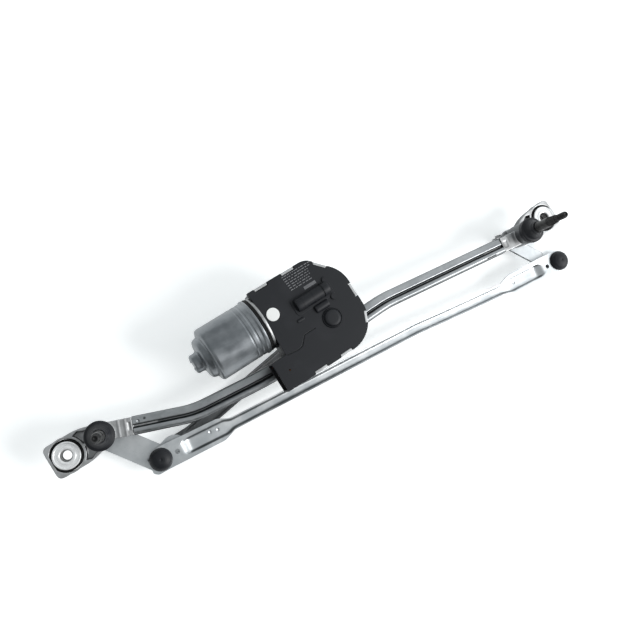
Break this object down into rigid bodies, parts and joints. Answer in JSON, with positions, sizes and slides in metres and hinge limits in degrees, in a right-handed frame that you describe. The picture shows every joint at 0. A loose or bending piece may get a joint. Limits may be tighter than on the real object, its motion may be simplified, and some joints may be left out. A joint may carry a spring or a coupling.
{
  "type": "windshield wiper assembly",
  "caption": "Windscreen wiper linkage: a bent rail between bearing housings carries a reversing gear motor whose crank drives the wiper shafts through rods and levers.",
  "frame": {"origin": "on the left wiper shaft's axis, at the end face of the shaft, on the plane that the assembly lies on", "axes": "+X towards the right wiper shaft, +Z along both wiper shafts towards their tips, +Y towards the motor side of the rail"},
  "size_m": [0.676, 0.1444, 0.136],
  "materials": {
    "galvanised_steel": "roll-formed galvanised sheet, satin with faint spangle",
    "zinc_steel": "bright zinc-plated pressed steel",
    "dark_steel": "dark passivated pressed steel",
    "black_steel": "black phosphated spindle",
    "can_steel": "satin grey deep-drawn can",
    "cast_aluminium": "bead-blasted die casting",
    "turned_aluminium": "bright turned face",
    "black_plastic": "black glass-filled moulding",
    "bearing_plastic": "natural acetal",
    "rubber": "black moulded rubber",
    "circuit_board": "solder-masked board",
    "copper": "bare copper alloy",
    "ferrite": "sintered ferrite",
    "brush_carbon": "pressed carbon",
    "white_film": "white vent film"
  },
  "bodies": {
    "frame": {"frame_rail": "galvanised_steel", "left_housing": "cast_aluminium", "right_housing": "cast_aluminium", "left_grommet": "rubber", "right_grommet": "rubber", "left_bush": "turned_aluminium", "right_bush": "turned_aluminium", "left_bearing_sleeve": "bearing_plastic", "right_bearing_sleeve": "bearing_plastic", "rail_clip": "dark_steel", "motor_bracket": "galvanised_steel", "bracket_screw_1": "zinc_steel", "bracket_screw_2": "zinc_steel", "bracket_screw_3": "zinc_steel", "gear_housing": "cast_aluminium", "output_bush": "bearing_plastic", "motor_can": "can_steel", "end_bearing": "dark_steel", "magnet_front": "ferrite", "magnet_rear": "ferrite", "brush_plate": "bearing_plastic", "brush_upper": "brush_carbon", "brush_lower": "brush_carbon", "motor_seal": "rubber", "electronics_cover": "black_plastic", "cover_seal": "rubber", "circuit_board": "circuit_board", "capacitor": "black_plastic", "connector_pins": "copper", "vent_membrane": "white_film"},
    "left_wiper_shaft": {"left_pivot_shaft": "black_steel", "left_lever": "zinc_steel", "left_drive_hub": "zinc_steel", "left_retaining_ring": "dark_steel", "left_dust_cap": "black_plastic", "left_ball_stud": "zinc_steel", "drive_ball_stud": "zinc_steel"},
    "right_wiper_shaft": {"right_pivot_shaft": "black_steel", "right_lever": "zinc_steel", "right_drive_hub": "zinc_steel", "right_retaining_ring": "dark_steel", "right_dust_cap": "black_plastic", "right_ball_stud": "zinc_steel"},
    "long_rod_assembly": {"long_rod": "zinc_steel", "long_rod_left_socket": "black_plastic", "long_rod_right_socket": "black_plastic"},
    "short_rod_assembly": {"short_rod": "dark_steel", "short_rod_lever_socket": "black_plastic", "short_rod_crank_socket": "black_plastic"},
    "crank_assembly": {"output_shaft": "zinc_steel", "crank_arm": "zinc_steel", "crank_nut": "zinc_steel", "crank_ball_stud": "zinc_steel", "worm_wheel": "bearing_plastic"},
    "armature": {"armature_shaft": "zinc_steel", "armature_core": "dark_steel", "rear_winding": "copper", "front_winding": "copper", "commutator": "copper"}
  },
  "joints": [
    {"name": "crank_turn", "type": "hinge", "parent": "frame", "child": "crank_assembly", "pos_m": [0.2706, 0.0073, 0.025], "axis": [0, 0, 1], "range_deg": [-180.6, 0]},
    {"name": "left_shaft_turn", "type": "hinge", "parent": "frame", "child": "left_wiper_shaft", "pos_m": [0, 0, 0.04], "axis": [0, 0, 1], "range_deg": [-78.8, 0]},
    {"name": "right_shaft_turn", "type": "hinge", "parent": "frame", "child": "right_wiper_shaft", "pos_m": [0.56, 0, 0.04], "axis": [0, 0, 1], "range_deg": [-78.8, 0]},
    {"name": "long_rod_swing", "type": "hinge", "parent": "left_wiper_shaft", "child": "long_rod_assembly", "pos_m": [0.04398, -0.05186, 0.025], "axis": [0, 0, 1], "range_deg": [0, 78.8]},
    {"name": "short_rod_swing", "type": "hinge", "parent": "left_wiper_shaft", "child": "short_rod_assembly", "pos_m": [0.06235, -0.04819, 0.006], "axis": [0, 0, 1], "range_deg": [0, 78.16]},
    {"name": "armature_spin", "type": "hinge", "parent": "frame", "child": "armature", "pos_m": [0.15697, 0.03012, 0.064], "axis": [0.9925, 0.1219, 0], "range_deg": [0, 5418]}
  ],
  "couplings": [
    {"joint": "left_shaft_turn", "follows": "crank_turn", "ratio": 0.43627},
    {"joint": "right_shaft_turn", "follows": "crank_turn", "ratio": 0.43627},
    {"joint": "long_rod_swing", "follows": "crank_turn", "ratio": -0.43627},
    {"joint": "short_rod_swing", "follows": "crank_turn", "ratio": -0.43272},
    {"joint": "armature_spin", "follows": "crank_turn", "ratio": -30}
  ]
}
